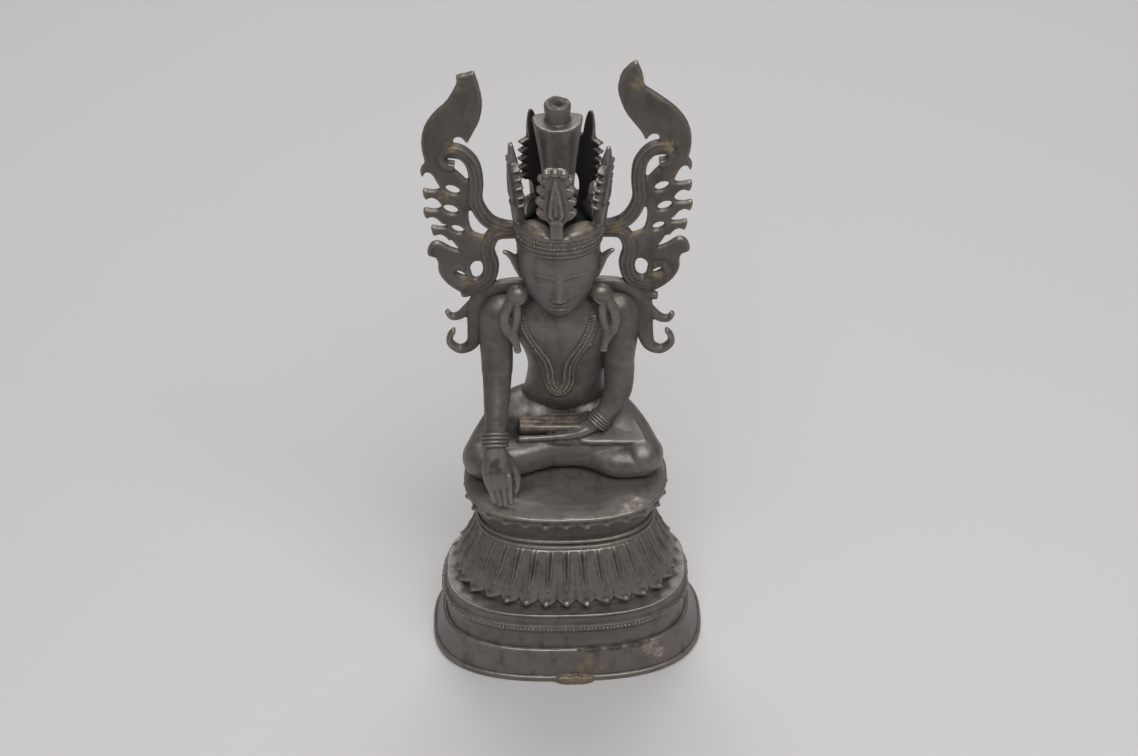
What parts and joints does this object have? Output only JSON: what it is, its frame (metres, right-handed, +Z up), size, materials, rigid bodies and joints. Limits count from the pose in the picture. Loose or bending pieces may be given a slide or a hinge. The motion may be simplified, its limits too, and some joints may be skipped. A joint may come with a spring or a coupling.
{
  "type": "bronze buddha statue",
  "caption": "Cast bronze statue of a crowned Buddha seated cross-legged on a lotus plinth, right hand reaching down, left hand in the lap, with tall openwork crown wings.",
  "frame": {"origin": "centre of the plinth's flat underside", "axes": "+Z up; the figure faces -Y, and +X is the viewer's right"},
  "size_m": [0.114, 0.0791, 0.2708],
  "materials": {
    "aged_bronze": "dark grey-brown patina, satin, worn bright on edges"
  },
  "bodies": {
    "root": {"buddha_statue": "aged_bronze"}
  },
  "joints": []
}
